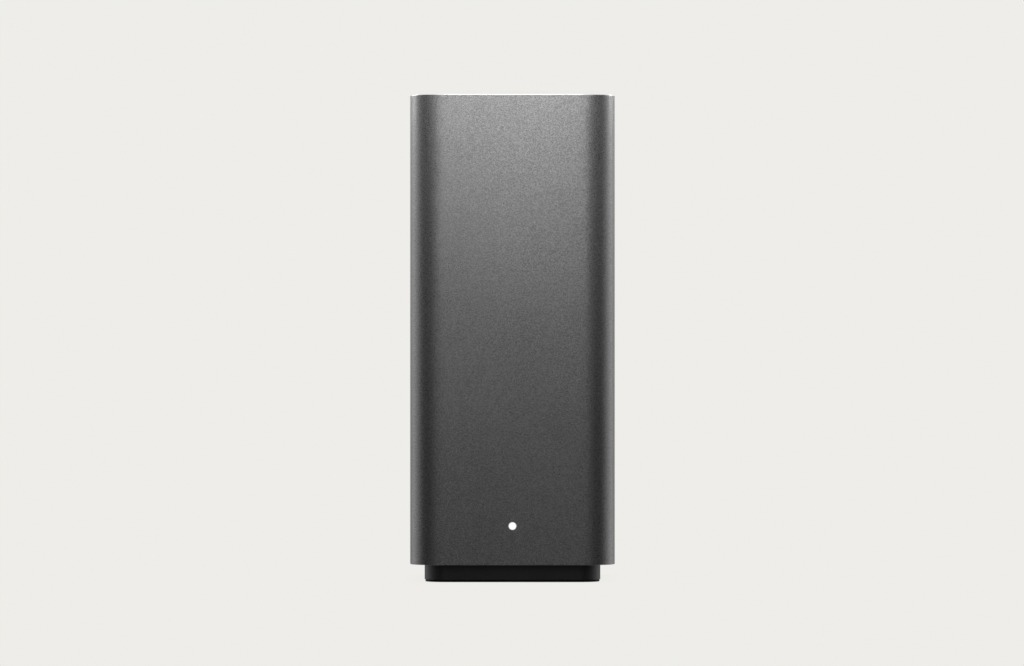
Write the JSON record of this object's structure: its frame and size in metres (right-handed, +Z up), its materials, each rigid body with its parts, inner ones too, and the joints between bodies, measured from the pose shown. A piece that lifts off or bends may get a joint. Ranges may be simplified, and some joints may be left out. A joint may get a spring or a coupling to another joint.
{
  "type": "mesh wifi node",
  "caption": "Square upright wifi node: graphite sleeve with rounded corners on a recessed black plinth, a small front status light, a rear socket strip and a vented top.",
  "frame": {"origin": "on the floor, under the middle of the foot", "axes": "+Z up, the status light faces -Y and the socket strip faces +Y"},
  "size_m": [0.078, 0.078, 0.185],
  "materials": {
    "graphite_shell": "satin metallic-effect graphite coat, finely bead-blasted",
    "black_plastic": "satin, finely textured",
    "socket_plastic": "matt",
    "button_plastic": "satin",
    "frame_plastic": "matt, glass-filled",
    "stem_plastic": "satin",
    "foot_rubber": "matt",
    "screw_steel": "zinc-plated",
    "screen_steel": "black, satin",
    "tinned_steel": "bright tin plate",
    "sink_aluminium": "extruded, satin",
    "antenna_brass": "stamped, bright",
    "contact_gold": "gold flash",
    "board_laminate": "green solder mask",
    "chip_epoxy": "matt moulded epoxy",
    "thermal_silicone": "soft, matt",
    "lead_sheath": "smooth",
    "light_guide": "frosted clear, lit white",
    "led_white": "white package with a phosphor window"
  },
  "bodies": {
    "housing": {"antenna_1": "antenna_brass", "antenna_2": "antenna_brass", "antenna_3": "antenna_brass", "antenna_4": "antenna_brass", "antenna_frame": "frame_plastic", "antenna_lead_1": "lead_sheath", "antenna_lead_2": "lead_sheath", "antenna_lead_3": "lead_sheath", "antenna_lead_4": "lead_sheath", "base_plate": "frame_plastic", "board_screw_1": "screw_steel", "board_screw_2": "screw_steel", "case_screw_1": "screw_steel", "case_screw_2": "screw_steel", "case_screw_3": "screw_steel", "case_screw_4": "screw_steel", "dc_jack": "socket_plastic", "dc_jack_pin": "tinned_steel", "ethernet_jack_1_contacts": "contact_gold", "ethernet_jack_1_insert": "socket_plastic", "ethernet_jack_1_shell": "tinned_steel", "ethernet_jack_2_contacts": "contact_gold", "ethernet_jack_2_insert": "socket_plastic", "ethernet_jack_2_shell": "tinned_steel", "foot_pad": "foot_rubber", "heat_sink": "sink_aluminium", "heat_sink_screw_1": "screw_steel", "heat_sink_screw_2": "screw_steel", "heat_sink_screw_3": "screw_steel", "heat_sink_screw_4": "screw_steel", "io_bezel": "black_plastic", "lead_connector_1": "contact_gold", "lead_connector_2": "contact_gold", "lead_connector_3": "contact_gold", "lead_connector_4": "contact_gold", "light_guide": "light_guide", "main_board": "board_laminate", "memory_chip": "chip_epoxy", "network_switch_chip": "chip_epoxy", "outer_sleeve": "graphite_shell", "plinth": "black_plastic", "power_switch_frame": "socket_plastic", "processor": "chip_epoxy", "radio_shield_1": "tinned_steel", "radio_shield_2": "tinned_steel", "rear_heat_plate": "sink_aluminium", "reset_switch": "socket_plastic", "spine_frame": "frame_plastic", "spine_screw_1": "screw_steel", "spine_screw_2": "screw_steel", "status_led": "led_white", "sync_switch": "socket_plastic", "thermal_pad": "thermal_silicone", "top_cap": "black_plastic", "vent_screen": "screen_steel"},
    "power_rocker": {"power_rocker": "black_plastic"},
    "sync_button": {"sync_button": "button_plastic", "sync_switch_stem": "stem_plastic"},
    "reset_stem": {"reset_switch_stem": "stem_plastic"}
  },
  "joints": [
    {"name": "power_rocker_tilt", "type": "hinge", "parent": "housing", "child": "power_rocker", "pos_m": [0, 0.033, 0.0873], "axis": [1, 0, 0], "range_deg": [0, 20]},
    {"name": "sync_button_press", "type": "slide", "parent": "housing", "child": "sync_button", "axis": [0, -1, 0], "range_m": [0, 0.0005], "stiffness_N_per_m": 800, "springref_m": -0.0005},
    {"name": "reset_stem_press", "type": "slide", "parent": "housing", "child": "reset_stem", "axis": [0, -1, 0], "range_m": [0, 0.0003], "stiffness_N_per_m": 800, "springref_m": -0.0005}
  ]
}
